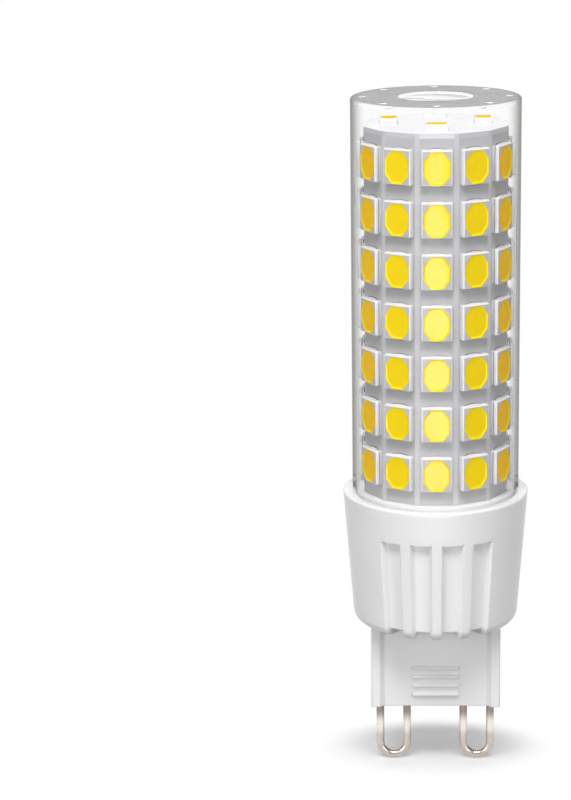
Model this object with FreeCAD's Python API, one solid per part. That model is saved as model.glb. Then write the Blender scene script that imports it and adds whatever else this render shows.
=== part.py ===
"""Corn LED bulb with a two-loop bi-pin cap, in millimetres.

The bulb stands upright. The origin is the centre of the cap block's bottom face, the face that
seats in the lamp holder. +Z runs up to the closed end of the clear cover, and -Y is the front.
Angles round the axis are measured from the front towards +X.
"""
import FreeCAD, Part
import os
from math import asin, cos, hypot, pi, radians, sin, sqrt, tan

from FreeCAD import Vector

# Sizes are in millimetres and angles in degrees.

# How closely two points must agree to count as the same place
same_place = 1e-6

# LED board tube: one board folded into flat sides
column_count = 12
row_count = 7
tube_face_radius = 7.4
board_thickness = 0.5
bend_width = 0.46
seam_gap = 0.2
row_pitch = 5.32
first_row_height = 5.48
last_row_margin = 2.9

# LED packages on the tube
led_width = 3.2
led_height = 3.7
led_thickness = 0.7
led_chamfer = 0.14
window_side_margin = 0.25
window_end_margin = 0.15
window_corner_width = 0.75
window_corner_height = 0.95
window_rise = 0.04

# Top board and its four smaller packages
top_board_thickness = 0.5
top_led_count = 4
top_led_ring_radius = 4.85
top_led_width = 2.4
top_led_depth = 1.9
top_led_thickness = 0.7
top_window_margin = 0.2
top_window_corner = 0.3
top_solder_size = 0.6
top_solder_length = 1.6

# Clear cover
led_clearance = 0.09
cover_wall = 0.45
cover_top_wall = 0.6
cover_edge_radius = 0.5
head_clearance = 1.5
gate_radius = 3.85
gate_depth = 0.25
gate_bevel = 0.3
vent_count = 8
vent_radius = 0.4
vent_inset = 1.25
vent_side_count = 12

# Base moulding: collar
collar_height = 14.4
lip_width = 1.0
lip_radius = 0.45
collar_foot_inset = 1.12
collar_foot_radius = 1.2
base_wall = 1.1
groove_clearance = 0.05
cover_seat_depth = 2.2
tube_seat_depth = 1.9
tube_clearance = 0.03
inner_ring_rise = 0.2
shelf_thickness = 1.2
collar_floor = 1.8
tab_width = 3.4
tab_height = 1.05
tab_slope = 0.5
tab_corner_bevel = 0.8

# Base moulding: flutes on the front and the back
flute_count = 4
flute_pitch = 20.4
flute_width = 11.8
flute_depth = 0.6
flute_edge_bevel = 0.2
flute_flank_angle = 25.0
flute_top_margin = 3.7
rib_overhang = 0.8
rib_length_inwards = 2.3

# Base moulding: cap block
block_height = 9.3
block_width = 13.8
web_depth = 5.5
rail_width = 0.95
rail_step = 0.45
rail_flank = 0.3
block_corner_bevel = 0.25
block_floor = 3.0
block_side_wall = 1.5
block_face_wall = 1.0
grip_count = 4
grip_length = 5.1
grip_height = 0.5
grip_rise = 0.3
grip_pitch = 0.99
grip_first_height = 1.38

# Pin loops of the cap: the standard nine millimetres from loop to loop
loop_pitch = 9.0
loop_side_count = 12
loop_bend_count = 4
wire_diameter = 0.85
loop_leg_spacing = 2.9
loop_drop = 7.0
short_leg_depth = 2.2
long_leg_depth = 5.2
leg_clearance = 0.02

# Driver board and what it carries
board_tube_clearance = 0.6
driver_board_height = 24.9
driver_board_thickness = 1.0
driver_board_bevel = 1.2
board_slot_clearance = 0.05
shelf_opening_margin = 0.3
part_gap = 0.1
capacitor_opening_clearance = 0.4
capacitor_length = 11.0
capacitor_height = 8.9
capacitor_edge_bevel = 0.4
capacitor_lead_spacing = 2.0
component_lead_diameter = 0.5
lead_reach = 0.8
resistor_diameter = 2.3
resistor_length = 5.2
resistor_height = 2.2
resistor_edge_bevel = 0.35
rectifier_width = 4.7
rectifier_height = 3.9
rectifier_thickness = 2.3
rectifier_centre_height = 7.0
rectifier_leg_spacing = 2.54
chip_width = 3.9
chip_height = 4.9
chip_thickness = 1.5
lower_chip_height = 12.4
chip_spacing = 6.2
chip_leg_pitch = 1.27
chip_leg_count = 4
leg_width = 0.42
leg_thickness = 0.22
leg_reach = 0.9
chip_resistor_width = 1.6
chip_resistor_length = 3.2
chip_resistor_thickness = 0.55

# Leads and their solder
lead_side_count = 8
input_lead_diameter = 1.0
input_bend_start = 2.8
input_lead_landing = 2.9
output_lead_diameter = 0.8
output_lead_offset = 1.0
output_lead_start = 22.6
output_lead_rise = 2.0
output_lead_landing = 2.0
lead_bend_radius = 2.0
solder_radius = 0.65
solder_height = 0.52
solder_shoulder = 37.0
solder_crown = 70.0

# Levels and radii that follow from the sizes above
rim_z = block_height + collar_height
cover_foot_z = rim_z - cover_seat_depth
tube_foot_z = rim_z - tube_seat_depth
first_row_z = tube_foot_z + first_row_height
tube_top_z = first_row_z + (row_count - 1) * row_pitch + last_row_margin
top_board_z = tube_top_z + top_board_thickness
cover_inner_top_z = top_board_z + top_led_thickness + head_clearance
cover_top_z = cover_inner_top_z + cover_top_wall
tube_inner_radius = tube_face_radius - board_thickness
cover_inner_radius = hypot(tube_face_radius + led_thickness, led_width / 2) + led_clearance
cover_outer_radius = cover_inner_radius + cover_wall
rim_radius = cover_outer_radius + lip_width
shelf_z = cover_foot_z - shelf_thickness
collar_floor_z = block_height + collar_floor
flute_bottom_z = block_height + rib_overhang
flute_top_z = rim_z - flute_top_margin
driver_board_width = 2 * (tube_inner_radius - board_tube_clearance)
driver_board_z = collar_floor_z
driver_board_top_z = driver_board_z + driver_board_height
board_face_y = driver_board_thickness / 2
shelf_opening_radius = driver_board_width / 2 - shelf_opening_margin
capacitor_diameter = shelf_opening_radius - board_face_y - part_gap - capacitor_opening_clearance
chip_resistor_offset = (chip_width / 2 + leg_reach + driver_board_width / 2) / 2
long_leg_x = (loop_pitch - loop_leg_spacing) / 2
short_leg_x = (loop_pitch + loop_leg_spacing) / 2
output_start_z = driver_board_z + output_lead_start
output_end_z = driver_board_top_z + output_lead_rise + lead_bend_radius + output_lead_landing

os.makedirs("parts", exist_ok=True)


def collar_radius(z):
    """Outer radius of the tapered collar at a height."""
    return rim_radius - collar_foot_inset * (rim_z - z) / collar_height


def around(r, t, angle, z):
    """The point r out from the axis and t sideways, at an angle from the front."""
    a = radians(angle)
    return Vector(r * sin(a) + t * cos(a), -r * cos(a) + t * sin(a), z)


def turned(shape, angle):
    """A copy of a shape, turned about the bulb's axis."""
    copy = shape.copy()
    copy.rotate(Vector(0, 0, 0), Vector(0, 0, 1), angle)
    return copy


def moved(shape, x, y, z):
    """A copy of a shape, moved by x, y and z."""
    copy = shape.copy()
    copy.translate(Vector(x, y, z))
    return copy


def mirrored(shape):
    """A copy of a shape on the other side of the middle plane x = 0."""
    return shape.mirror(Vector(0, 0, 0), Vector(1, 0, 0))


def box(x0, x1, y0, y1, z0, z1):
    """A box between two corners."""
    return Part.makeBox(x1 - x0, y1 - y0, z1 - z0, Vector(x0, y0, z0))


def prism(points, direction):
    """A closed polygon pushed along a direction."""
    wire = Part.makePolygon(points + points[:1])
    return Part.Face(wire).extrude(direction)


def lathe(profile):
    """A closed profile of (radius, height) points, turned about the bulb's axis."""
    points = [Vector(r, 0, z) for r, z in profile]
    face = Part.Face(Part.makePolygon(points + points[:1]))
    return face.revolve(Vector(0, 0, 0), Vector(0, 0, 1), 360)


def rounding(centre_r, centre_z, radius, start, end, chords):
    """Points along a rounded edge of a lathe profile, between two angles from outwards."""
    angles = [radians(start + (end - start) * k / chords) for k in range(chords + 1)]
    return [(centre_r + radius * cos(a), centre_z + radius * sin(a)) for a in angles]


def small_ring(centre, direction, diameter, sides):
    """A closed ring of flats drawn round a small bar's true circle, square to a direction in YZ."""
    across = Vector(1, 0, 0)
    other = direction.cross(across).normalize()
    corner = diameter / 2 / cos(pi / sides)
    angles = [2 * pi * (k + 0.5) / sides for k in range(sides)]
    points = [centre + across * (corner * cos(a)) + other * (corner * sin(a)) for a in angles]
    return Part.makePolygon(points + points[:1])


def small_bar(centre, direction, diameter, sides):
    """A straight many-sided bar, as long as its direction."""
    return Part.Face(small_ring(centre, direction, diameter, sides)).extrude(direction)


def edges_where(shape, test):
    """The edges of a shape whose two ends both pass a test."""
    return [e for e in shape.Edges if all(test(v) for v in e.Vertexes)]


def tube_outline(apothem, bend, z0, z1):
    """A prism with one flat side for each column, and a narrow flat of width bend at each corner."""
    half_side = apothem * tan(pi / column_count)
    cut = bend / 2 / cos(pi / column_count)
    points = []
    for k in range(column_count):
        for t in (-(half_side - cut), half_side - cut) if bend else (half_side,):
            points.append(around(apothem, t, 360 / column_count * k, z0))
    return prism(points, Vector(0, 0, z1 - z0))


def write(node, shape):
    """Write one node, a solid or a group of separate solids, and report its size."""
    solids = shape.Solids
    if not shape.isValid() or not solids:
        raise ValueError(node + " has no valid solid")
    shape.exportStep("parts/" + node + ".step")
    print(node, len(solids), "solids", round(sum(s.Volume for s in solids), 2), "mm3")


def group(shapes):
    """Separate solids kept as one node."""
    return Part.makeCompound([s for shape in shapes for s in shape.Solids])


# LED packages: a white moulded body with a phosphor window that stands just proud of its face

def octagon(width, height, corner_width, corner_height, z0, z1):
    """The eight-sided window shape, lying flat and pushed up from z0 to z1."""
    x, y = width / 2, height / 2
    cx, cy = x - corner_width, y - corner_height
    outline = [(cx, -y), (x, -cy), (x, cy), (cx, y), (-cx, y), (-x, cy), (-x, -cy), (-cx, -y)]
    return prism([Vector(px, py, z0) for px, py in outline], Vector(0, 0, z1 - z0))


def led_body(width, height, thickness):
    """A package body lying on its back, with a bevel round its front face."""
    body = box(-width / 2, width / 2, -height / 2, height / 2, 0, thickness)
    return body.makeChamfer(led_chamfer, edges_where(body, lambda v: abs(v.Z - thickness) < same_place))


def stand_up(shape):
    """Tip a shape that lies on its back up against the front side of the tube."""
    copy = shape.copy()
    copy.rotate(Vector(0, 0, 0), Vector(1, 0, 0), 90)
    return moved(copy, 0, -tube_face_radius, 0)


side_body = stand_up(led_body(led_width, led_height, led_thickness))
side_window = stand_up(octagon(led_width - 2 * window_side_margin, led_height - 2 * window_end_margin,
                               window_corner_width, window_corner_height,
                               led_thickness, led_thickness + window_rise))
row_heights = [first_row_z + row * row_pitch for row in range(row_count)]
for column in range(column_count):
    angle = 360 / column_count * column
    bodies = [turned(moved(side_body, 0, 0, z), angle) for z in row_heights]
    windows = [turned(moved(side_window, 0, 0, z), angle) for z in row_heights]
    write("led_packages_column_%02d" % (column + 1), group(bodies))
    write("phosphor_windows_column_%02d" % (column + 1), group(windows))

top_body = led_body(top_led_width, top_led_depth, top_led_thickness)
top_window = octagon(top_led_width - 2 * top_window_margin, top_led_depth - 2 * top_window_margin,
                     top_window_corner, top_window_corner,
                     top_led_thickness, top_led_thickness + window_rise)
top_angles = [360 / top_led_count * k for k in range(top_led_count)]
for node, shape in (("top_led_packages", top_body), ("top_phosphor_windows", top_window)):
    placed = moved(shape, 0, -top_led_ring_radius, top_board_z)
    write(node, group([turned(placed, a) for a in top_angles]))

# LED board tube, folded from one flat board, with its seam at one of the bends at the back
inner_bend_width = bend_width / 2
tube = tube_outline(tube_face_radius, bend_width, tube_foot_z, tube_top_z)
tube = tube.cut(tube_outline(tube_inner_radius, inner_bend_width, tube_foot_z, tube_top_z))
seam = box(-seam_gap / 2, seam_gap / 2, -2 * tube_face_radius, 0, tube_foot_z, tube_top_z)
seam_angle = 360 / column_count * (column_count // 2 - 0.5)
write("led_board_tube", tube.cut(turned(seam, seam_angle)))

# Top board, which lies on the tube's upper edge
write("top_led_board", tube_outline(tube_face_radius, bend_width, tube_top_z, top_board_z))

# Solder in the corner between the tube's inner wall and the top board
solder_corner = [Vector(-top_solder_length / 2, -tube_inner_radius + y, tube_top_z + z)
                 for y, z in ((0, 0), (top_solder_size, 0), (0, -top_solder_size))]
corner_solder = prism(solder_corner, Vector(top_solder_length, 0, 0))
write("top_board_solder", group([turned(corner_solder, a) for a in top_angles]))


# Clear cover: a thin tube with a closed flat top, a shallow gate recess and a ring of vent holes

def clear_cover():
    outer, inner = cover_outer_radius, cover_inner_radius
    edge = cover_edge_radius
    gate_z = cover_top_z - gate_depth
    profile = [(inner, cover_foot_z), (outer, cover_foot_z)]
    profile += rounding(outer - edge, cover_top_z - edge, edge, 0, 90, 2)
    profile += [(gate_radius, cover_top_z), (gate_radius - gate_bevel, gate_z), (0, gate_z),
                (0, cover_inner_top_z), (inner, cover_inner_top_z)]
    cover = lathe(profile)
    through = Vector(0, 0, 3 * cover_top_wall)
    for k in range(vent_count):
        below = around(outer - vent_inset, 0, 360 / vent_count * k, cover_inner_top_z - cover_top_wall)
        cover = cover.cut(small_bar(below, through, 2 * vent_radius, vent_side_count))
    return cover


write("clear_cover", clear_cover())


# Base: one hollow moulding, the fluted collar above and the flat cap block below

def collar():
    """The turned outside of the collar, with the ring that stands inside the cover."""
    foot_r, foot_z = collar_radius(block_height) - collar_foot_radius, block_height + collar_foot_radius
    groove_outer = cover_outer_radius + groove_clearance
    groove_inner = cover_inner_radius - groove_clearance
    ring_z = rim_z + inner_ring_rise
    profile = [(0, block_height)]
    profile += rounding(foot_r, foot_z, collar_foot_radius, -90, 0, 3)
    profile += rounding(rim_radius - lip_radius, rim_z - lip_radius, lip_radius, 0, 90, 2)
    profile += [(groove_outer, rim_z), (groove_outer, cover_foot_z), (groove_inner, cover_foot_z),
                (groove_inner, ring_z), (0, ring_z)]
    return lathe(profile)


def flute_section(z, angle, floor_radius):
    """The section of one flute at a height: a flat floor, leaning flanks and bevelled edges."""
    surface = collar_radius(z)
    half = radians(flute_width / 2) * surface
    shoulder = sqrt(surface ** 2 - half ** 2)
    bevel = (shoulder - flute_edge_bevel / 2, half - flute_edge_bevel)
    floor_t = bevel[1] - (bevel[0] - surface + flute_depth) * tan(radians(flute_flank_angle))
    side = [(floor_radius, floor_t), bevel, (shoulder, half), (surface + flute_depth, half)]
    if floor_radius < surface - flute_depth:
        side.insert(1, (surface - flute_depth, floor_t))
    points = [around(r, t, angle, z) for r, t in side]
    points += [around(r, -t, angle, z) for r, t in reversed(side)]
    return Part.makePolygon(points + points[:1])


def flute(angle):
    """What is cut away for one flute: the groove, and below it the gap between two rib ends."""
    groove = [flute_section(z, angle, collar_radius(z) - flute_depth) for z in (flute_bottom_z, flute_top_z)]
    gap_floor = collar_radius(block_height) - flute_depth - rib_length_inwards
    gap = [flute_section(z, angle, gap_floor) for z in (block_height - rib_overhang, flute_bottom_z)]
    return Part.makeLoft(groove, True, True).fuse(Part.makeLoft(gap, True, True))


def grip_rib():
    """A raised bar across the block's front face, with bevelled sides and ends."""
    def outline(x, y, z):
        corners = [Vector(-x, y, -z), Vector(x, y, -z), Vector(x, y, z), Vector(-x, y, z)]
        return Part.makePolygon(corners + corners[:1])
    face = -web_depth / 2
    inside = outline(grip_length / 2, face + grip_rise, grip_height / 2)
    base = outline(grip_length / 2, face, grip_height / 2)
    ridge = outline(grip_length / 2 - grip_rise, face - grip_rise, grip_height / 4)
    return Part.makeLoft([inside, base, ridge], True, True)


def cap_block():
    """The block's outside: a web with a proud rail along each edge and grip ribs on both faces."""
    x, web, rail, bevel = block_width / 2, web_depth / 2, web_depth / 2 + rail_step, block_corner_bevel
    inner = x - rail_width
    quarter = [(x, rail - bevel), (x - bevel, rail), (inner, rail), (inner - rail_flank, web)]
    half = quarter + [(-px, py) for px, py in reversed(quarter)]
    outline = half + [(px, -py) for px, py in reversed(half)]
    block = prism([Vector(px, py, 0) for px, py in outline], Vector(0, 0, block_height + collar_floor / 2))
    for k in range(grip_count):
        bar = moved(grip_rib(), 0, 0, grip_first_height + k * grip_pitch)
        block = block.fuse([bar, turned(bar, 180)])
    return block


def seat_tabs():
    """Two tongues with sloped tops, which stand beside the tube's foot and keep it from turning."""
    z0, z1 = rim_z - tab_height, rim_z + inner_ring_rise + tab_height
    outer = cover_inner_radius - groove_clearance
    ring = lathe([(0, z0), (outer, z0), (outer, z1 - tab_slope), (outer - tab_slope, z1), (0, z1)])
    tongue = box(-2 * outer, 2 * outer, -tab_width / 2, tab_width / 2, z0, z1)
    corners = [e for e in edges_where(tongue, lambda v: abs(v.Z - z1) < same_place)
               if abs(e.Vertexes[0].Y - e.Vertexes[1].Y) < same_place]
    return ring.common(tongue.makeChamfer(tab_corner_bevel, corners))


def base_hollows():
    """Everything that is open inside the moulding."""
    cavity_radius = collar_radius(collar_floor_z) - flute_depth - base_wall
    cavity = Part.makeCylinder(cavity_radius, shelf_z - collar_floor_z, Vector(0, 0, collar_floor_z))
    above = rim_z + inner_ring_rise + 2 * tab_height
    below = shelf_z - shelf_thickness
    seat = tube_outline(tube_face_radius + tube_clearance, 0, tube_foot_z, above)
    opening = Part.makeCylinder(shelf_opening_radius, above - below, Vector(0, 0, below))
    slot_x = driver_board_width / 2 + board_slot_clearance
    slot_y = board_face_y + board_slot_clearance
    slot = box(-slot_x, slot_x, -slot_y, slot_y, below, above)
    block_x = block_width / 2 - block_side_wall
    block_y = web_depth / 2 - block_face_wall
    block = box(-block_x, block_x, -block_y, block_y, block_floor, collar_floor_z + collar_floor)
    return [cavity, seat, opening, slot, block]


def leg_hole(x, depth):
    """The hole for one leg of a pin loop, up from below the block's seat."""
    bore = wire_diameter + 2 * leg_clearance
    return small_bar(Vector(x, 0, -bore), Vector(0, 0, bore + depth), bore, loop_side_count)


def base_body():
    body = collar().fuse(cap_block())
    pattern = [flute_pitch * (k - (flute_count - 1) / 2) for k in range(flute_count)]
    body = body.cut([flute(side + angle) for side in (0, 180) for angle in pattern])
    body = body.fuse(seat_tabs()).cut(base_hollows())
    for sign in (-1, 1):
        body = body.cut([leg_hole(sign * long_leg_x, block_floor + wire_diameter),
                         leg_hole(sign * short_leg_x, short_leg_depth)])
    return body.removeSplitter()


write("base_body", base_body())


# Wires: a many-sided section swept along a route whose corners are rounded with short chords

def bent_wire(corners, radius, chords, diameter, sides):
    """A wire along straight runs, with each corner of the route rounded to a radius."""
    route = [corners[0]]
    for before, corner, after in zip(corners, corners[1:], corners[2:]):
        back, on = (before - corner).normalize(), (after - corner).normalize()
        half_turn = back.getAngle(on) / 2
        centre = corner + (back + on).normalize() * (radius / sin(half_turn))
        first = corner + back * (radius / tan(half_turn))
        last = corner + on * (radius / tan(half_turn))
        if (first - route[-1]).Length < same_place:
            route.pop()
        arm, swing = first - centre, pi - 2 * half_turn
        towards = last - centre - arm * cos(swing)
        across = towards.normalize() * radius
        for k in range(chords + 1):
            a = swing * k / chords
            route.append(centre + arm * cos(a) + across * sin(a))
    route.append(corners[-1])
    ring = small_ring(corners[0], corners[1] - corners[0], diameter, sides)
    return Part.makePolygon(route).makePipeShell([ring], True, False, 1)


# Pin loops: each is one wire, bent round at the bottom, with a long leg and a short leg

def pin_loop():
    bottom = -loop_drop + wire_diameter / 2
    corners = [Vector(long_leg_x, 0, long_leg_depth), Vector(long_leg_x, 0, bottom),
               Vector(short_leg_x, 0, bottom), Vector(short_leg_x, 0, short_leg_depth)]
    return bent_wire(corners, loop_leg_spacing / 2, loop_bend_count, wire_diameter, loop_side_count)


write("pin_loop_right", pin_loop())
write("pin_loop_left", mirrored(pin_loop()))


# Driver board, standing on the collar's floor in the slot of the shelf

def driver_board():
    x, y = driver_board_width / 2, board_face_y
    board = box(-x, x, -y, y, driver_board_z, driver_board_top_z)
    top = edges_where(board, lambda v: abs(v.Z - driver_board_top_z) < same_place)
    corners = [e for e in top if abs(e.Vertexes[0].X - e.Vertexes[1].X) < same_place]
    return board.makeChamfer(driver_board_bevel, corners)


write("driver_board", driver_board())


def barrel(diameter, length, bevel):
    """A round component body standing at the origin, bevelled at both ends."""
    r = diameter / 2
    return lathe([(0, 0), (r - bevel, 0), (r, bevel), (r, length - bevel), (r - bevel, length), (0, length)])


def component_lead(x, y, z_body, z_end):
    """A lead that leaves a component along Z and bends in to the driver board's back face."""
    corners = [Vector(x, y, z_body), Vector(x, y, z_end), Vector(x, board_face_y, z_end)]
    return bent_wire(corners, component_lead_diameter, 2, component_lead_diameter, lead_side_count)


# Smoothing capacitor and fusible resistor, behind the board
capacitor_y = board_face_y + part_gap + capacitor_diameter / 2
capacitor_z = driver_board_z + capacitor_height
write("smoothing_capacitor", moved(barrel(capacitor_diameter, capacitor_length, capacitor_edge_bevel),
                                   0, capacitor_y, capacitor_z))
write("capacitor_leads", group([component_lead(side * capacitor_lead_spacing / 2, capacitor_y,
                                               capacitor_z, capacitor_z - lead_reach) for side in (-1, 1)]))

resistor_y = board_face_y + part_gap + resistor_diameter / 2
resistor_z = driver_board_z + resistor_height
resistor_top_z = resistor_z + resistor_length
write("fusible_resistor", moved(barrel(resistor_diameter, resistor_length, resistor_edge_bevel),
                                0, resistor_y, resistor_z))
write("resistor_leads", group([component_lead(0, resistor_y, resistor_z, resistor_z - lead_reach),
                               component_lead(0, resistor_y, resistor_top_z, resistor_top_z + lead_reach)]))


# Packages on the board's front face: a rectifier, two driver chips and chip resistors

def board_package(width, height, thickness, centre_height):
    """A moulded package on the board's front, with a bevelled front face."""
    z, front = driver_board_z + centre_height, -board_face_y - thickness
    body = box(-width / 2, width / 2, front, -board_face_y, z - height / 2, z + height / 2)
    return body.makeChamfer(leg_thickness, edges_where(body, lambda v: abs(v.Y - front) < same_place))


def side_legs(width, thickness, centre_height, heights):
    """Flat legs on both sides of a package, stepped down on to the board's front face."""
    face, shoulder, t = -board_face_y, -board_face_y - thickness / 2, leg_thickness
    outline = [(0, shoulder), (leg_reach / 2, shoulder), (leg_reach, face), (leg_reach / 2, face),
               (0, shoulder + t)]
    leg = prism([Vector(x + width / 2, y, -leg_width / 2) for x, y in outline], Vector(0, 0, leg_width))
    right = [moved(leg, 0, 0, driver_board_z + centre_height + h) for h in heights]
    return right + [mirrored(r) for r in right]


write("bridge_rectifier", board_package(rectifier_width, rectifier_height, rectifier_thickness,
                                        rectifier_centre_height))
write("rectifier_legs", group(side_legs(rectifier_width, rectifier_thickness, rectifier_centre_height,
                                        (-rectifier_leg_spacing / 2, rectifier_leg_spacing / 2))))

chip_leg_heights = [chip_leg_pitch * (k - (chip_leg_count - 1) / 2) for k in range(chip_leg_count)]
chip_centres = {"lower": lower_chip_height, "upper": lower_chip_height + chip_spacing}
for name, centre in chip_centres.items():
    write("driver_chip_" + name, board_package(chip_width, chip_height, chip_thickness, centre))
write("driver_chip_legs", group([leg for centre in chip_centres.values()
                                 for leg in side_legs(chip_width, chip_thickness, centre, chip_leg_heights)]))

chip_resistor = board_package(chip_resistor_width, chip_resistor_length, chip_resistor_thickness, 0)
write("chip_resistors", group([moved(chip_resistor, side * chip_resistor_offset, 0, centre)
                               for side in (-1, 1) for centre in chip_centres.values()]))


# Input leads: each stands on its loop's long leg and swings forward to lie on the board's front face

def input_lead():
    x, y = long_leg_x, -board_face_y - input_lead_diameter / 2
    swing = 2 * asin(sqrt(-y / (4 * lead_bend_radius)))
    lower = long_leg_depth + input_bend_start
    upper = lower - y / tan(swing)
    corners = [Vector(x, 0, long_leg_depth), Vector(x, 0, lower), Vector(x, y, upper),
               Vector(x, y, driver_board_z + input_lead_landing)]
    return bent_wire(corners, lead_bend_radius, 2, input_lead_diameter, lead_side_count)


write("input_lead_right", input_lead())
write("input_lead_left", mirrored(input_lead()))


# Output leads: from the upper end of the board forward to the tube's inner wall

def output_lead():
    r = output_lead_diameter / 2
    x, board_y, wall_y = output_lead_offset, -board_face_y - r, -tube_inner_radius + r
    turn_z = driver_board_top_z + output_lead_rise
    corners = [Vector(x, board_y, output_start_z), Vector(x, board_y, turn_z), Vector(x, wall_y, turn_z),
               Vector(x, wall_y, output_end_z)]
    return bent_wire(corners, lead_bend_radius, 3, output_lead_diameter, lead_side_count)


write("output_lead_right", output_lead())
write("output_lead_left", mirrored(output_lead()))


# Solder joints: an eight-sided dome on the board or the tube's wall, close past each lead's end

def solder_dome(x, face_y, z, side):
    """A bevelled dome on a face, standing out along -Y (side -1) or +Y (side 1)."""
    out = Vector(0, side, 0)
    rings = []
    for slope in (0, solder_shoulder, solder_crown):
        centre = Vector(x, face_y, z) + out * (solder_height * sin(radians(slope)))
        size = 2 * solder_radius * cos(radians(slope)) * cos(pi / lead_side_count)
        rings.append(small_ring(centre, out, size, lead_side_count))
    return Part.makeLoft(rings, True, True)


input_joint_z = driver_board_z + input_lead_landing + solder_radius
domes = [solder_dome(long_leg_x, -board_face_y, input_joint_z, -1),
         solder_dome(output_lead_offset, -board_face_y, output_start_z - solder_radius, -1),
         solder_dome(output_lead_offset, -tube_inner_radius, output_end_z + solder_radius, 1)]
write("lead_solder_joints", group(domes + [mirrored(d) for d in domes]))

print("overall length", round(cover_top_z + loop_drop, 3), "overall diameter", round(2 * rim_radius, 3))
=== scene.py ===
import math

import bmesh
import bpy
from mathutils import Matrix, Vector


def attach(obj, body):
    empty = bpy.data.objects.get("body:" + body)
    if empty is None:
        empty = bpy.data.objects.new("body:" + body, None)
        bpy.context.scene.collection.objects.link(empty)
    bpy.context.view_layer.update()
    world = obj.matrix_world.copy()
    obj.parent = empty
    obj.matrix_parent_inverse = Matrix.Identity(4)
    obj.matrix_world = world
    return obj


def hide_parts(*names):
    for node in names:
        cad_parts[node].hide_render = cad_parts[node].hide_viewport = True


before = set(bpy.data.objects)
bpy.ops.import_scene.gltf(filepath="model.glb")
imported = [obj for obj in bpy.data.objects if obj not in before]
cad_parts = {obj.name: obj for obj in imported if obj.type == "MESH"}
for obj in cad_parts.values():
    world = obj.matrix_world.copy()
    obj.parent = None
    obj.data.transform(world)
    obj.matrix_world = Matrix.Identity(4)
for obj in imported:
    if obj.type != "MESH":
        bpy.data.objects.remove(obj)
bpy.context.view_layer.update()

# Base moulding
# One injection moulding in a glossy white, heat-resistant plastic: a tapered collar that holds the cover
# and the board tube, and below it the flat block that the lamp holder grips. The cover's groove is drawn
# only as deep as can be looked into.

MM = 0.001
rim_radius = 9.796
rim_height = 23.7
block_height = 9.3
collar_taper = 1.12
collar_foot_radius = 1.2
lip_radius = 0.22
groove_outer, groove_inner, groove_floor = 8.8, 8.344, 23.2
groove_edge = 0.03
ring_height, ring_bevel = 23.9, 0.08
pocket_apothem, pocket_floor = 7.43, 21.8
opening_radius, shelf_underside = 6.0, 20.3
cavity_radius, cavity_floor = 7.1, 11.1
flute_pitch, flute_half_width, flute_floor_half_width = 20.4, 7.3, 4.9
flute_depth, flute_foot_radius = 0.6, 0.25
flute_top, flute_bottom = 20.0, 10.1
flute_middles = [side + (k - 1.5) * flute_pitch for side in (0, 180) for k in range(4)]
gap_radius, gap_corner = 5.78, 0.2
side_count = 12
side_angle = 360 / side_count
usual_crease = 32.0


def srgb(red, green, blue):
    """A colour as it looks on a screen, from 0 to 255, as the shader's own linear values."""
    def linear(value):
        value /= 255
        return value / 12.92 if value <= 0.04045 else ((value + 0.055) / 1.055) ** 2.4
    return (linear(red), linear(green), linear(blue), 1.0)


def eased(t, ease=0.2):
    """A straight rise from 0 to 1 with rounded ends."""
    t = min(max(t, 0.0), 1.0)
    if t > 0.5:
        return 1.0 - eased(1.0 - t, ease)
    return t * t / (2 * ease * (1 - ease)) if t < ease else (t - ease / 2) / (1 - ease)


def arc(centre, radius, start, end, steps):
    """Points on an arc in the plane, angles in degrees."""
    angles = [math.radians(start + (end - start) * k / steps) for k in range(steps + 1)]
    return [(centre[0] + radius * math.cos(a), centre[1] + radius * math.sin(a)) for a in angles]


def placed(name, data):
    """An object of the scene that holds a mesh, a lamp or a camera."""
    obj = bpy.data.objects.new(name, data)
    bpy.context.scene.collection.objects.link(obj)
    return obj


def piece_from(name, points, faces, crease=usual_crease, materials=(), numbers=(), welded=True):
    """A mesh piece, its points in millimetres, turned outwards and shaded. Numbers give faces' materials."""
    mesh = bpy.data.meshes.new(name)
    mesh.from_pydata([Vector(p) * MM for p in points], [], faces)
    for material in materials:
        mesh.materials.append(material)
    if numbers:
        mesh.polygons.foreach_set("material_index", numbers)
    build = bmesh.new()
    build.from_mesh(mesh)
    if welded:
        bmesh.ops.remove_doubles(build, verts=build.verts, dist=1e-7)
    bmesh.ops.recalc_face_normals(build, faces=build.faces)
    build.to_mesh(mesh)
    build.free()
    obj = placed(name, mesh)
    shade(obj, crease)
    return obj


def shade(obj, crease):
    """Smooth shading that keeps the edges sharper than an angle."""
    mesh = obj.data
    for polygon in mesh.polygons:
        polygon.use_smooth = True
    mesh.set_sharp_from_angle(angle=math.radians(crease))


def joined(body, tool, operation):
    """Add a tool's solid to a body, or cut it out; the tool is used up."""
    cut = body.modifiers.new("cut", "BOOLEAN")
    cut.operation = operation
    cut.solver = "EXACT"
    cut.object = tool
    bpy.context.view_layer.update()
    result = bpy.data.meshes.new_from_object(body.evaluated_get(bpy.context.evaluated_depsgraph_get()))
    body.modifiers.clear()
    body.data = result
    bpy.data.objects.remove(tool)


def ring_stack(rings):
    """Points and faces of a stack of rings with the same number of points, closed at its foot."""
    faces = []
    length = len(rings[0])
    for ring in range(len(rings) - 1):
        for k in range(length):
            a, b = ring * length + k, ring * length + (k + 1) % length
            faces.append((a, b, b + length, a + length))
    faces.append(tuple(range(length)))
    return [p for ring in rings for p in ring], faces


def closed_stack(rings):
    """The same, closed at both ends."""
    points, faces = ring_stack(rings)
    faces.append(tuple(range(len(points) - len(rings[0]), len(points))))
    return points, faces


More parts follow.
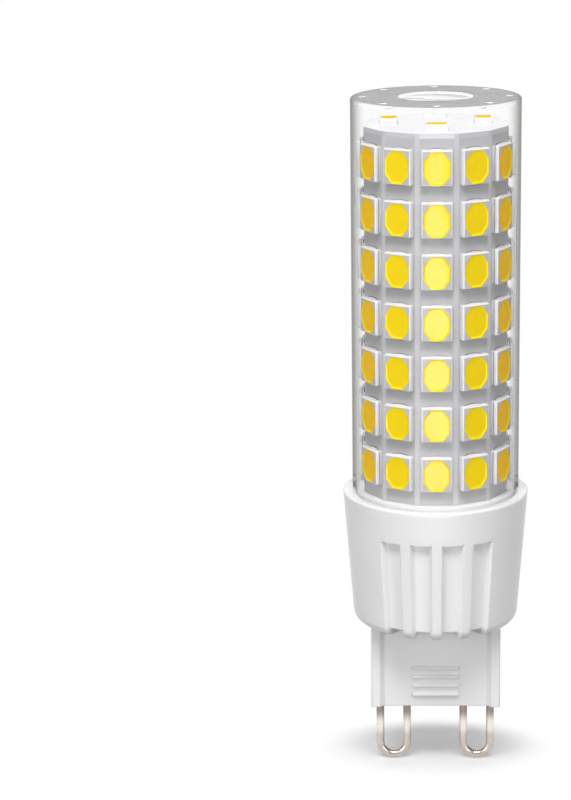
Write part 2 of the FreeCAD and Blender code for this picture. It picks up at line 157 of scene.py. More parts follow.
def turned_faces(points, turns, length, rows):
    """Faces of a section turned about the axis; corners that meet on the axis are dropped."""
    faces = []
    for k in range(turns):
        a, b = k * length, (k + 1) % turns * length
        for row in range(rows):
            on = (row + 1) % length
            face = (a + row, b + row, b + on, a + on)
            corners = [f for n, f in enumerate(face) if points[f] not in [points[g] for g in face[:n]]]
            if len(corners) > 2:
                faces.append(tuple(corners))
    return faces


def collar_radius(z):
    """Outside of the tapered collar at a height."""
    return rim_radius - collar_taper * (rim_height - z) / (rim_height - block_height)


def collar_path(polygon_radius):
    """Matched (radius, height) points of the plain wall and of a flute, and how far each row is cut."""
    foot = collar_radius(block_height + collar_foot_radius) - collar_foot_radius
    floor_foot = collar_radius(flute_bottom) - flute_depth
    rows = [((r, block_height), (r, block_height), cut) for r, cut in ((0, 0), (3.0, 0), (gap_radius, 1))]
    plain = [(gap_radius + t * (foot - gap_radius), block_height) for t in (0.15, 0.3, 0.45, 0.6, 0.8)]
    plain += arc((foot, block_height + collar_foot_radius), collar_foot_radius, -90, 0, 8)
    gap = [(gap_radius, flute_bottom - 0.5), (gap_radius, flute_bottom - gap_corner)]
    gap += [(gap_radius + gap_corner * 0.3, flute_bottom - gap_corner * 0.3)]
    gap += [(r, flute_bottom) for r in (gap_radius + gap_corner, 6.8, 7.2, 7.6)]
    bend = (floor_foot - flute_foot_radius, flute_bottom + flute_foot_radius)
    gap += arc(bend, flute_foot_radius, -90, 0, 5)
    gap += [(floor_foot, flute_bottom + 0.35)]
    rows += [(a, b, 1) for a, b in zip(plain, gap)]
    levels = [(z, 1) for z in (11.2, 12.5, 14.0, 15.5, 17.0, 18.5, 19.4, 19.75)]
    flute_end = ((-0.07, 0.99), (-0.045, 0.93), (-0.03, 0.8), (0.0, 0.4), (0.03, 0.1), (0.06, 0.01))
    levels += [(flute_top + lift, cut) for lift, cut in flute_end]
    rows += [((collar_radius(z), z), (collar_radius(z) - flute_depth, z), cut) for z, cut in levels]
    plain = [(collar_radius(z), z) for z in (20.4, 21.2, 22.2, 22.9)]
    plain += arc((rim_radius - lip_radius, rim_height - lip_radius), lip_radius, -3, 90, 8)
    plain += arc((groove_outer + groove_edge, rim_height - groove_edge), groove_edge, 90, 180, 2)
    plain += [(groove_outer, groove_floor), (groove_inner, groove_floor)]
    plain += arc((groove_inner - groove_edge, ring_height - groove_edge), groove_edge, 0, 90, 2)
    plain += [(polygon_radius + ring_bevel, ring_height), (polygon_radius, ring_height - ring_bevel)]
    plain += [(polygon_radius, pocket_floor), (opening_radius, pocket_floor)]
    plain += [(opening_radius, shelf_underside), (cavity_radius, shelf_underside)]
    plain += [(cavity_radius, cavity_floor), (0, cavity_floor)]
    return rows + [(point, point, 0) for point in plain]


def flute_share(angle):
    """How deep the collar is cut at an angle: 0 on a rib or the plain wall, 1 on a flute's floor."""
    off = min(abs((angle - middle + 180) % 360 - 180) for middle in flute_middles)
    return eased((flute_half_width - off) / (flute_half_width - flute_floor_half_width))


def collar():
    """The collar as a grid of rows round the axis, with the flutes pushed into it."""
    angles = {3.0 * k for k in range(120)}
    flank = flute_half_width - flute_floor_half_width
    for middle in flute_middles:
        for t in (0, 0.07, 0.13, 0.2, 0.5, 0.8, 0.87, 0.93, 1):
            for sign in (-1, 1):
                angles.add(round((middle + sign * (flute_half_width - flank * t)) % 360, 2))
    points, ring_length = [], 0
    for angle in sorted(angles):
        off_face = math.radians((angle + side_angle / 2) % side_angle - side_angle / 2)
        cut = flute_share(angle)
        path = collar_path(pocket_apothem / math.cos(off_face))
        ring_length = len(path)
        a = math.radians(angle)
        for wall, flute, share in path:
            r = wall[0] + (flute[0] - wall[0]) * cut * share
            z = wall[1] + (flute[1] - wall[1]) * cut * share
            points.append((r * math.sin(a), -r * math.cos(a), z))
    faces = turned_faces(points, len(angles), ring_length, ring_length - 1)
    return piece_from("base_moulding", points, faces)


block_half_width, block_half_depth = 6.9, 3.2
web_half_depth = 2.75
rail_inner, rail_flank = 5.95, 0.45
block_corner, rail_corner, web_corner = 0.25, 0.2, 0.3
block_top = 10.2
seat_edge = 0.12


def rounded_outline(corners, steps=4):
    """A closed outline in the plane, each (x, y, radius) corner rounded."""
    outline = []
    count = len(corners)
    for k in range(count):
        x, y, radius = corners[k]
        here = Vector((x, y))
        back = (Vector(corners[k - 1][:2]) - here).normalized()
        on = (Vector(corners[(k + 1) % count][:2]) - here).normalized()
        half_turn = back.angle(on) / 2
        reach = radius / math.tan(half_turn)
        centre = here + (back + on).normalized() * (radius / math.sin(half_turn))
        first, last = here + back * reach - centre, here + on * reach - centre
        swing = first.angle_signed(last)
        for step in range(steps + 1):
            turn = Matrix.Rotation(-swing * step / steps, 2)
            outline.append(centre + turn @ first)
    return outline


def inset(outline, amount):
    """An outline moved inwards by a small amount; the outline runs round anticlockwise."""
    moved = []
    count = len(outline)
    for k in range(count):
        along = (outline[(k + 1) % count] - outline[k - 1]).normalized()
        moved.append(outline[k] + Vector((-along.y, along.x)) * amount)
    return moved


def block():
    """The cap block's outside, from its seat up into the collar."""
    quarter = [(block_half_width, block_half_depth, block_corner),
               (rail_inner, block_half_depth, rail_corner),
               (rail_inner - rail_flank, web_half_depth, web_corner)]
    front = quarter + [(-x, y, r) for x, y, r in reversed(quarter)]
    corners = front + [(-x, -y, r) for x, y, r in front]
    outline = rounded_outline(corners)
    rings = []
    for angle in (0, 30, 60, 90):
        a = math.radians(angle)
        ring = inset(outline, seat_edge * (1 - math.sin(a)))
        rings.append([(p.x, p.y, seat_edge * (1 - math.cos(a))) for p in ring])
    for z in (2.4, 4.7, 7.0, block_top):
        rings.append([(p.x, p.y, z) for p in outline])
    return piece_from("block", *closed_stack(rings))


grip_length, grip_height, grip_rise = 5.1, 0.5, 0.4
grip_pitch, first_grip = 0.99, 1.38
grip_sink = 0.01
grip_count, grip_sides = 4, 20


def grip(side, z):
    """One grip rib: a bar with round ends, half sunk in the web."""
    rings = []
    half = grip_height / 2
    stations = [(-grip_length / 2 + half * (1 - math.cos(a)), math.sin(a))
                for a in (math.radians(d) for d in (8, 30, 50, 70, 90))]
    stations += [(-x, share) for x, share in reversed(stations)]
    for x, share in stations:
        ring = []
        for k in range(grip_sides):
            a = 2 * math.pi * k / grip_sides
            out = web_half_depth - grip_sink + share * grip_rise * math.sin(a)
            ring.append((x, side * out, z + share * half * math.cos(a)))
        rings.append(ring)
    return piece_from("grip", *closed_stack(rings))


tab_half_width, tab_foot, tab_top = 1.7, 23.4, 24.95
tab_set_back = 0.01
tab_level, tab_shoulder = 0.9, 0.8
tab_outer_edge = ((0, 0.6), (0.1, 0.42), (0.32, 0.14), (0.5, 0.02))
tab_inner_edge = ((0.12, 0), (0, 0.1))


def seat_tab(side):
    """One tongue beside the tube's foot, with round shoulders and a top that slopes outwards."""
    rings = []
    for k in range(17):
        y = tab_half_width * math.sin(math.radians(-90 + 180 * k / 16))
        past_level = max(0.0, (abs(y) - tab_level) / tab_shoulder)
        top = tab_top - tab_shoulder * (1 - math.sqrt(max(0.0, 1 - past_level ** 2)))
        inner = pocket_apothem + tab_set_back
        outer = math.sqrt((groove_inner - tab_set_back) ** 2 - y ** 2)
        section = [(inner, tab_foot), (outer, tab_foot)]
        section += [(outer - back, top - drop) for back, drop in tab_outer_edge]
        section += [(inner + back, top - drop) for back, drop in tab_inner_edge]
        rings.append([(side * x, y, z) for x, z in section])
    return piece_from("tab", *closed_stack(rings))


def middle_box(half_width, half_depth, z0, z1):
    """A plain box round the axis, for a hollow."""
    corners = [(half_width * x, half_depth * y) for x, y in ((-1, -1), (1, -1), (1, 1), (-1, 1))]
    return piece_from("hollow", *closed_stack([[(x, y, z) for x, y in corners] for z in (z0, z1)]))


def round_bar(x, y, radius, z0, z1):
    """A plain upright bar, for a hole."""
    outline = arc((0, 0), radius, 0, 360, bar_sides)[:-1]
    return piece_from("hole", *closed_stack([[(x + px, y + py, z) for px, py in outline] for z in (z0, z1)]))


bar_sides = 32
hollow_half_width, hollow_half_depth, hollow_foot = 5.4, 1.75, 3.0
slot_half_width, slot_half_depth = 6.35, 0.55
long_leg, short_leg = 3.05, 5.95
short_leg_top = 2.2
wire_radius, leg_clearance = 0.425, 0.02
below_seat = -1.0

base = collar()
joined(base, block(), "UNION")
for side in (-1, 1):
    for k in range(grip_count):
        joined(base, grip(side, first_grip + k * grip_pitch), "UNION")
    joined(base, seat_tab(side), "UNION")
block_hollow = middle_box(hollow_half_width, hollow_half_depth, hollow_foot, cavity_floor + 0.5)
joined(base, block_hollow, "DIFFERENCE")
board_slot = middle_box(slot_half_width, slot_half_depth, shelf_underside - 0.3, pocket_floor + 0.4)
joined(base, board_slot, "DIFFERENCE")
hole_radius = wire_radius + leg_clearance
for side in (-1, 1):
    for leg, top in ((long_leg, hollow_foot + 0.5), (short_leg, short_leg_top)):
        joined(base, round_bar(side * leg, 0, hole_radius, below_seat, top), "DIFFERENCE")
tidied = bmesh.new()
tidied.from_mesh(base.data)
bmesh.ops.dissolve_degenerate(tidied, dist=1e-8, edges=tidied.edges)
tidied.to_mesh(base.data)
tidied.free()
shade(base, usual_crease)
flat_faces = base.modifiers.new("flat faces", "WEIGHTED_NORMAL")
flat_faces.keep_sharp = True


def finish_nodes(name):
    """A new material with its node tree, its shader and the object's own coordinates."""
    material = bpy.data.materials.new(name)
    material.use_nodes = True
    nodes, links = material.node_tree.nodes, material.node_tree.links
    place = nodes.new("ShaderNodeTexCoord").outputs["Object"]
    return material, nodes, links, nodes["Principled BSDF"], place


def tuned(node, **values):
    """A shader node with some of its inputs set."""
    for socket, value in values.items():
        node.inputs[socket.replace("_", " ")].default_value = value
    return node


def noise(nodes, links, place, scale, detail=4.0):
    """A noise texture's value, with its scale in spots per millimetre."""
    texture = tuned(nodes.new("ShaderNodeTexNoise"), Scale=scale / MM, Detail=detail, Roughness=0.55)
    links.new(place, texture.inputs["Vector"])
    return texture.outputs["Fac"]


def ranged(nodes, links, value, low, high, from_low=0.25, from_high=0.75):
    """A value brought softly from its own range to another."""
    node = tuned(nodes.new("ShaderNodeMapRange"), From_Min=from_low, From_Max=from_high,
                 To_Min=low, To_Max=high)
    node.interpolation_type = "SMOOTHSTEP"
    links.new(value, node.inputs["Value"])
    return node.outputs["Result"]


def mixed(nodes, links, share, first, second):
    """A blend of two colours by a share, each a fixed colour or another node's output."""
    node = nodes.new("ShaderNodeMix")
    node.data_type = "RGBA"
    links.new(share, node.inputs["Factor"])
    for name, colour in (("A", first), ("B", second)):
        socket = [s for s in node.inputs if s.name == name and s.type == "RGBA"][0]
        if isinstance(colour, tuple):
            socket.default_value = colour
        else:
            links.new(colour, socket)
    return [s for s in node.outputs if s.type == "RGBA"][0]


def two_tone(nodes, links, spots, pale, dark):
    """A pale and a dark tone in soft patches, each as it looks on a screen, from 0 to 255."""
    return mixed(nodes, links, ranged(nodes, links, spots, 0, 1), srgb(*pale), srgb(*dark))


def bumped(nodes, links, height, depth, shader):
    """A bump on the shader's normal, its depth in millimetres."""
    node = tuned(nodes.new("ShaderNodeBump"), Distance=depth * MM)
    links.new(height, node.inputs["Height"])
    links.new(node.outputs["Normal"], shader.inputs["Normal"])


def surface(name, pale, dark, patch_scale, gloss, grain_scale, grain_depth, **settings):
    """A solid finish: two close tones in soft patches, uneven gloss and a fine grain."""
    material, nodes, links, shader, place = finish_nodes(name)
    patches = noise(nodes, links, place, patch_scale, 1.0)
    links.new(two_tone(nodes, links, patches, pale, dark), shader.inputs["Base Color"])
    haze = noise(nodes, links, place, patch_scale * 3, 1.0)
    links.new(ranged(nodes, links, haze, *gloss), shader.inputs["Roughness"])
    bumped(nodes, links, noise(nodes, links, place, grain_scale, 3.0), grain_depth, shader)
    tuned(shader, **settings)
    return material


base_plastic = surface("white moulded plastic", (241, 241, 240), (238, 238, 238), 0.12, (0.23, 0.27),
                       3.0, 0.0015, Specular_IOR_Level=0.32)
base.data.materials.clear()
base.data.materials.append(base_plastic)
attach(base, "root")
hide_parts("base_body")

# Pin loops
# Each loop is one round nickel-plated wire, bent to a U. Its legs are pushed into the block: the long one
# reaches the driver's input lead, the short one stops in the moulding.

loop_bottom = -7.0
long_leg_top = 5.2
wire_sides = 32


def tube_along(name, route, radius, **options):
    """A round wire along a route that lies in a plane y = constant."""
    rings = []
    for k, here in enumerate(route):
        back, on = route[max(k - 1, 0)], route[min(k + 1, len(route) - 1)]
        along = (on - back).normalized()
        across = along.cross(Vector((0, 1, 0))).normalized()
        ring = []
        for step in range(wire_sides):
            a = 2 * math.pi * step / wire_sides
            ring.append(here + across * (radius * math.cos(a)) + Vector((0, 1, 0)) * (radius * math.sin(a)))
        rings.append(ring)
    return piece_from(name, *closed_stack(rings), **options)


def mapped(nodes, links, place, **settings):
    """Coordinates moved, turned or stretched before a texture uses them."""
    node = tuned(nodes.new("ShaderNodeMapping"), **settings)
    links.new(place, node.inputs["Vector"])
    return node.outputs["Vector"]


def split(nodes, links, vector):
    """The X, Y and Z of a vector, as outputs."""
    node = nodes.new("ShaderNodeSeparateXYZ")
    links.new(vector, node.inputs["Vector"])
    return node.outputs


def pin_metal_finish():
    """Dull nickel plate, finely marked along the wire, with a painted highlight low down and painted shade
    near the block.
    """
    material, nodes, links, shader, place = finish_nodes("plated pin wire")
    streaks = noise(nodes, links, mapped(nodes, links, place, Scale=(1.0, 1.0, 0.12)), 6.0, 5.0)
    patches = noise(nodes, links, place, 0.6)
    tone = two_tone(nodes, links, patches, (212, 203, 194), (206, 197, 188))
    height = split(nodes, links, place)["Z"]
    # Painted highlight: a bright band low on the legs.
    painted_highlight_band = ranged(nodes, links, height, 0, 1, -4.4 * MM, -3.3 * MM)
    tone = mixed(nodes, links, painted_highlight_band, tone, srgb(245, 240, 231))
    # Painted shade: the wire is drawn darker near the block.
    painted_shade_band = ranged(nodes, links, height, 0, 1, -2.9 * MM, -1.4 * MM)
    tone = mixed(nodes, links, painted_shade_band, tone, srgb(146, 136, 128))
    tone = mixed(nodes, links, ranged(nodes, links, streaks, 0, 0.25), tone, srgb(180, 170, 160))
    links.new(tone, shader.inputs["Base Color"])
    links.new(ranged(nodes, links, streaks, 0.24, 0.38), shader.inputs["Roughness"])
    bumped(nodes, links, streaks, 0.004, shader)
    tuned(shader, Metallic=1.0)
    return material


pin_metal = pin_metal_finish()
for side, node in ((-1, "pin_loop_left"), (1, "pin_loop_right")):
    bend = (short_leg - long_leg) / 2
    bend_height = loop_bottom + wire_radius + bend
    route = [(long_leg, z) for z in (long_leg_top, 2.5, 0.0, -2.5)]
    route += arc(((short_leg + long_leg) / 2, bend_height), bend, 180, 360, 32)
    route += [(short_leg, z) for z in (-2.5, 0.0, short_leg_top)]
    route = [Vector((side * x, 0, z)) for x, z in route]
    loop = tube_along(node + "_wire", route, wire_radius, materials=(pin_metal,))
    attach(loop, "root")
    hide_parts(node)

# Driver board
# A glass-fibre board with a green lacquer over copper tracks. It stands in the slot of the base's shelf
# and reaches up into the board tube.

def dress(node, material):
    """Give a CAD node its finish."""
    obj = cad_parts[node]
    obj.data.materials.clear()
    obj.data.materials.append(material)


def circuit_board_finish():
    """Green lacquer, with tracks that show paler and a weave under it."""
    material, nodes, links, shader, place = finish_nodes("green circuit board")
    tracks = tuned(nodes.new("ShaderNodeTexBrick"), Scale=0.5 / MM, Mortar_Size=0.12,
                   Color1=(0, 0, 0, 1), Color2=(0, 0, 0, 1), Mortar=(1, 1, 1, 1))
    links.new(mapped(nodes, links, place, Rotation=(math.radians(90), 0, 0)), tracks.inputs["Vector"])
    weave = noise(nodes, links, place, 4.0)
    green = two_tone(nodes, links, weave, (22, 92, 54), (16, 78, 46))
    green = mixed(nodes, links, tracks.outputs["Color"], green, srgb(58, 132, 84))
    links.new(green, shader.inputs["Base Color"])
    links.new(ranged(nodes, links, weave, 0.3, 0.45), shader.inputs["Roughness"])
    bumped(nodes, links, tracks.outputs["Color"], 0.03, shader)
    return material


dress("driver_board", circuit_board_finish())

# Driver's parts
# The rectifier, two driver chips and chip resistors are soldered on the board's front; the smoothing
# capacitor and the fusible resistor lie behind it on their wire leads.

black_epoxy = surface("black moulding compound", (38, 38, 40), (28, 28, 30), 1.0, (0.5, 0.65), 8.0, 0.01)
for node in ("bridge_rectifier", "driver_chip_lower", "driver_chip_upper"):
    dress(node, black_epoxy)
glazed_chip = surface("glazed chip resistor", (44, 44, 48), (30, 30, 34), 2.0, (0.25, 0.4), 6.0, 0.004)
dress("chip_resistors", glazed_chip)
sleeve = surface("dark shrunk sleeve", (30, 38, 62), (24, 30, 50), 0.5, (0.25, 0.38), 2.0, 0.01)
dress("smoothing_capacitor", sleeve)
lacquer = surface("green lacquered resistor", (112, 146, 136), (96, 130, 122), 0.8, (0.35, 0.5), 3.0, 0.02)
dress("fusible_resistor", lacquer)
tinned = surface("tinned wire", (205, 205, 207), (182, 182, 186), 2.0, (0.25, 0.4), 6.0, 0.006, Metallic=1.0)
for node in ("capacitor_leads", "resistor_leads", "rectifier_legs", "driver_chip_legs"):
    dress(node, tinned)
insulation = surface("lead insulation", (222, 219, 212), (208, 204, 196), 1.0, (0.4, 0.55), 4.0, 0.006)
for node in ("input_lead_left", "input_lead_right", "output_lead_left", "output_lead_right"):
    dress(node, insulation)
solder = surface("bright solder", (212, 212, 216), (178, 178, 184), 2.5, (0.15, 0.35), 5.0, 0.02,
                 Metallic=1.0)
for node in ("lead_solder_joints", "top_board_solder"):
    dress(node, solder)

# Board tube
# One aluminium-backed board with a pale matt coat, scored on the back and folded into twelve flat sides.
# Along each bend the coat is drawn lighter, a painted highlight.

tube_apothem = 7.4


def worked(nodes, links, operation, first, second):
    """One sum worked out from two values, each a number or another node's output."""
    node = nodes.new("ShaderNodeMath")
    node.operation = operation
    for socket, value in zip(node.inputs, (first, second)):
        if isinstance(value, float):
            socket.default_value = value
        else:
            links.new(value, socket)
    return node.outputs[0]


def tube_finish():
    """Matt pale grey coat with a painted highlight along each bend."""
    material, nodes, links, shader, place = finish_nodes("pale board coat")
    parts = split(nodes, links, place)
    turn = worked(nodes, links, "ARCTAN2", parts["Y"], parts["X"])
    half_side = math.radians(side_angle) / 2
    in_side = worked(nodes, links, "PINGPONG", worked(nodes, links, "ADD", turn, math.pi), half_side)
    from_bend = worked(nodes, links, "SUBTRACT", half_side, in_side)
    # Painted highlight: a lighter strip of coat along each bend.
    bend = ranged(nodes, links, from_bend, 1.0, 0.0, 0.02, 0.05)
    patches = noise(nodes, links, place, 0.35)
    coat = two_tone(nodes, links, patches, (197, 197, 197), (192, 192, 193))
    links.new(mixed(nodes, links, bend, coat, srgb(209, 208, 210)), shader.inputs["Base Color"])
    links.new(ranged(nodes, links, patches, 0.5, 0.65), shader.inputs["Roughness"])
    tuned(shader, Specular_IOR_Level=0.02)
    bumped(nodes, links, noise(nodes, links, place, 6.0, 3.0), 0.004, shader)
    return material


dress("led_board_tube", tube_finish())

# LED packages
# Each LED is a white moulded housing. The front holds the phosphor window and is drawn a darker grey-white,
# as painted shade. The moulding's two halves leave a line round its sides, drawn grey as painted shade. A
# half-moon terminal at each end is soldered to the board, with a dark rim of painted shade round it.

led_width, led_height, led_thickness = 3.2, 3.7, 0.7
row_count, row_pitch, first_row = 7, 5.32, 27.28
housing_crease, window_crease = 40.0, 12.0
housing = surface("white LED housing", (238, 237, 238), (232, 231, 233), 0.8, (0.3, 0.42), 5.0, 0.003)
# Painted shade: the front is a darker copy of the white housing moulding.
shaded_housing_front = surface("LED front with painted shade", (206, 203, 200), (199, 196, 192), 0.8, (0.35, 0.5),
                        5.0, 0.003, Specular_IOR_Level=0.02)
# Painted shade: the parting line's groove is drawn grey.
seam_shade_tone = surface("parting line with painted shade", (160, 158, 160), (150, 148, 150), 0.8, (0.4, 0.5), 5.0, 0.002)
# Painted shade: a dark brown rim round each terminal.
terminal_shade_rim = surface("terminal rim with painted shade", (140, 124, 114), (120, 104, 96), 2.0, (0.5, 0.6), 6.0, 0.002)
sides_skin, front_skin, terminal_shade_skin, seam_skin = range(4)
parting_line, seam_half, seam_lip, seam_depth = 0.3, 0.05, 0.06, 0.06
seam_ring = 2
housing_corner, front_edge, side_draft = 0.16, 0.1, 0.05
seat_share, seat_depth = 0.97, 0.06
window_half_width, window_half_height = 1.35, 1.7
window_corner_width, window_corner_height = 0.75, 0.95


def window_outline(half_width, half_height, corner_width, corner_height, roundness=0.12):
    """The eight-sided window's outline with slightly round corners."""
    cx, cy = half_width - corner_width, half_height - corner_height
    corners = [(cx, -half_height), (half_width, -cy), (half_width, cy), (cx, half_height),
               (-cx, half_height), (-half_width, cy), (-half_width, -cy), (-cx, -half_height)]
    return rounded_outline([(x, y, roundness) for x, y in corners], 3)


def housing_rings(width, height, thickness):
    """Rings of one housing lying on its back, from the board up to its front edge."""
    outline = rounded_outline([(x * width / 2, y * height / 2, housing_corner)
                               for x, y in ((1, -1), (1, 1), (-1, 1), (-1, -1))])
    levels = [(0.0, side_draft), (parting_line - seam_lip, 0.0), (parting_line - seam_half, seam_depth)]
    levels += [(parting_line + seam_half, seam_depth), (parting_line + seam_lip, 0.01)]
    levels += [(thickness - front_edge, side_draft)]
    levels += arc((thickness - front_edge, side_draft + front_edge), front_edge, -60, 0, 2)
    return [[(p.x, p.y, z) for p in inset(outline, by)] for z, by in levels]


def led_solids(width, height, thickness, window):
    """Points, faces and material numbers of one housing: its sides and the seat of its window."""
    rings = housing_rings(width, height, thickness)
    length, count = len(rings[0]), len(window)
    points, faces = ring_stack(rings)
    faces = [(face, seam_skin if n // length == seam_ring else sides_skin) for n, face in enumerate(faces)]
    start = len(points)
    points += [(p.x, p.y, thickness) for p in window]
    points += [(p.x * seat_share, p.y * seat_share, thickness - seat_depth) for p in window]
    for k in range(count):
        a, b = start + k, start + (k + 1) % count
        faces.append(((a, b, b + count, a + count), sides_skin))
    faces.append((tuple(range(start + count, start + 2 * count)), sides_skin))
    return points, faces, range(start - length, start), range(start, start + count)


def bridge_rings(points, outer, inner):
    """Faces between two rings of different lengths, by walking both round their centre."""
    def direction(k):
        return math.atan2(points[k][1], points[k][0])
    outer, inner = sorted(outer, key=direction), sorted(inner, key=direction)
    faces = []
    i = j = 0
    while i < len(outer) or j < len(inner):
        next_outer = direction(outer[i]) if i < len(outer) else math.inf
        next_inner = direction(inner[j]) if j < len(inner) else math.inf
        a, b = outer[i % len(outer)], inner[j % len(inner)]
        if next_outer <= next_inner:
            faces.append((a, outer[(i + 1) % len(outer)], b))
            i += 1
        else:
            faces.append((a, inner[(j + 1) % len(inner)], b))
            j += 1
    return faces


terminal_half_width, terminal_rise, terminal_tip = 0.95, 0.12, 0.005
terminal_line = 0.05
terminal_top, terminal_line_top = 0.14, 0.12


def half_moon(foot, edge, top, side):
    """Points and faces of a terminal, its straight side on a housing's end; or of the dark rim of painted
    shade round it.
    """
    steps = 12
    outer, inner = [], []
    for k in range(steps + 1):
        t = -1 + 2 * k / steps
        bow = terminal_tip + (1 - t * t) * terminal_rise
        outer.append((terminal_half_width * t, side * (foot + bow + edge)))
        inner.append((terminal_half_width * t, side * (foot if edge == 0 else foot + bow)))
    points = [(x, y, z) for z in (0.0, top) for x, y in outer + inner]
    count = steps + 1
    faces = []
    for k in range(steps):
        for level, turn in ((0, 1), (2 * count, -1)):
            quad = (level + k, level + k + 1, level + count + k + 1, level + count + k)
            faces.append(quad[::turn])
        for row in (0, count):
            a, b = row + k, row + k + 1
            faces.append((a, b, b + 2 * count, a + 2 * count))
    for k in (0, steps):
        faces.append((k, count + k, 3 * count + k, 2 * count + k))
    return points, faces


def one_led(width, height, thickness, window, terminals):
    """Everything that is seen of one LED's housing, as points, faces and material numbers."""
    points, faces, top_ring, window_ring = led_solids(width, height, thickness, window)
    faces += [(face, front_skin) for face in bridge_rings(points, top_ring, window_ring)]
    rims = ((0, terminal_top, sides_skin), (terminal_line, terminal_line_top, terminal_shade_skin))
    for side in (-1, 1) if terminals else ():
        for edge, top, skin in rims:
            first = len(points)
            more_points, more_faces = half_moon(height / 2 - side_draft, edge, top, side)
            points += more_points
            faces += [(tuple(first + n for n in face), skin) for face in more_faces]
    return points, faces


def copies(name, points, faces, places, materials, crease):
    """One piece made of the same solid at several places."""
    all_points, all_faces, numbers = [], [], []
    for place in places:
        first = len(all_points)
        all_points += [place @ Vector(p) for p in points]
        all_faces += [tuple(first + n for n in face) for face, number in faces]
        numbers += [number for face, number in faces]
    return piece_from(name, all_points, all_faces, crease, materials, numbers, welded=False)


side_window = window_outline(window_half_width, window_half_height, window_corner_width, window_corner_height)
led_points, led_faces = one_led(led_width, led_height, led_thickness, side_window, True)


def side_place(column, row):
    """Where one LED sits: its back on a flat side of the tube, its front outwards."""
    turn = Matrix.Rotation(math.radians(side_angle * column), 4, "Z")
    out = Matrix.Translation(Vector((0, -tube_apothem, first_row + row * row_pitch)))
    return turn @ out @ Matrix.Rotation(math.radians(90), 4, "X")


for column in range(side_count):
    places = [side_place(column, row) for row in range(row_count)]
    node = "led_packages_column_%02d" % (column + 1)
    leds = copies("housings_column_%02d" % (column + 1), led_points, led_faces, places,
                  (housing, shaded_housing_front, terminal_shade_rim, seam_shade_tone), housing_crease)
    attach(leds, "root")
    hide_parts(node)

# Phosphor windows
# Yellow phosphor in clear silicone fills a shallow cup in the front of each housing. It creeps thinly up
# the cup's sloping sides, and it is more orange where it is looked at along its face.

cup_levels = ((0.985, -0.09), (1.0, 0.006), (0.985, 0.012), (0.87, -0.05), (0.4, -0.05))
cup_ring = 2
window_skin, cup_skin = range(2)


def phosphor_finish(name, skin_tint):
    """Yellow phosphor under a clear skin that deepens its colour where it is looked at along its face."""
    material, nodes, links, shader, place = finish_nodes(name)
    specks = noise(nodes, links, place, 2.2, 6.0)
    clouds = noise(nodes, links, place, 0.5)
    tone = two_tone(nodes, links, clouds, (255, 253, 0), (255, 248, 0))
    tone = mixed(nodes, links, ranged(nodes, links, specks, 0, 0.2), tone, srgb(255, 241, 0))
    links.new(tone, shader.inputs["Base Color"])
    links.new(ranged(nodes, links, specks, 0.2, 0.32), shader.inputs["Roughness"])
    bumped(nodes, links, specks, 0.006, shader)
    tuned(shader, IOR=1.5, Specular_IOR_Level=0.23)
    tuned(shader, Coat_Weight=1.0, Coat_IOR=1.02, Coat_Roughness=0.2, Coat_Tint=skin_tint)
    return material


phosphor = phosphor_finish("yellow phosphor", (1.0, 0.8, 0.65, 1.0))
cup_edge = phosphor_finish("thin phosphor edge", (1.0, 0.86, 0.78, 1.0))


def window_solid(outline, thickness):
    """Points, faces and material numbers of one window: a shallow cup with a pale sloping edge."""
    points, faces = closed_stack([[(p.x * share, p.y * share, thickness + up) for p in outline]
                                  for share, up in cup_levels])
    rings = [n // len(outline) for n in range(len(faces))]
    return points, [(face, cup_skin if ring == cup_ring else window_skin) for face, ring in zip(faces, rings)]


window_points, window_faces = window_solid(side_window, led_thickness)
for column in range(side_count):
    places = [side_place(column, row) for row in range(row_count)]
    windows = copies("windows_column_%02d" % (column + 1), window_points, window_faces, places,
                     (phosphor, cup_edge), window_crease)
    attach(windows, "root")
    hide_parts("phosphor_windows_column_%02d" % (column + 1))

# Top board
# A white-coated twelve-sided board that lies on the tube's upper edge and closes it, soldered to the
# tube from inside.

def top_board_finish():
    """White coat on the faces, bare grey metal round the cut edge."""
    material, nodes, links, shader, place = finish_nodes("white board coat")
    facing = split(nodes, links, nodes.new("ShaderNodeTexCoord").outputs["Normal"])
    patches = noise(nodes, links, place, 0.4, 1.0)
    coat = two_tone(nodes, links, patches, (247, 247, 247), (243, 243, 244))
    flat = ranged(nodes, links, facing["Z"], 0, 1, 0.3, 0.7)
    links.new(mixed(nodes, links, flat, srgb(200, 200, 203), coat), shader.inputs["Base Color"])
    links.new(ranged(nodes, links, patches, 0.35, 0.45), shader.inputs["Roughness"])
    bumped(nodes, links, noise(nodes, links, place, 6.0, 3.0), 0.003, shader)
    return material


dress("top_led_board", top_board_finish())

# Top LEDs
# Four smaller packages in a cross on the top board, of the same make as those on the tube.

top_board_height = 62.6
top_ring_radius = 4.85
top_width, top_depth, top_thickness = 2.4, 1.9, 0.7
top_frame, top_corner = 0.2, 0.3
top_window = window_outline(top_width / 2 - top_frame, top_depth / 2 - top_frame, top_corner, top_corner, 0.1)
top_points, top_faces = one_led(top_width, top_depth, top_thickness, top_window, False)
top_places = [Matrix.Rotation(math.radians(90 * k), 4, "Z") @
              Matrix.Translation(Vector((0, -top_ring_radius, top_board_height))) for k in range(4)]
top_leds = copies("top_housings", top_points, top_faces, top_places, (housing,) * 4, housing_crease)
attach(top_leds, "root")
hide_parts("top_led_packages")
top_points, top_faces = window_solid(top_window, top_thickness)
top_phosphor = phosphor_finish("thin yellow phosphor", (1.0, 0.87, 0.4, 1.0))
top_windows = copies("top_windows", top_points, top_faces, top_places, (top_phosphor,) * 2, window_crease)
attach(top_windows, "root")
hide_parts("top_phosphor_windows")

# Clear cover
# A thin tube of clear plastic with a closed flat top, moulded in one shot from the middle of the top.
# Its foot is glued into the groove of the base, and eight small holes near its edge let warm air out.

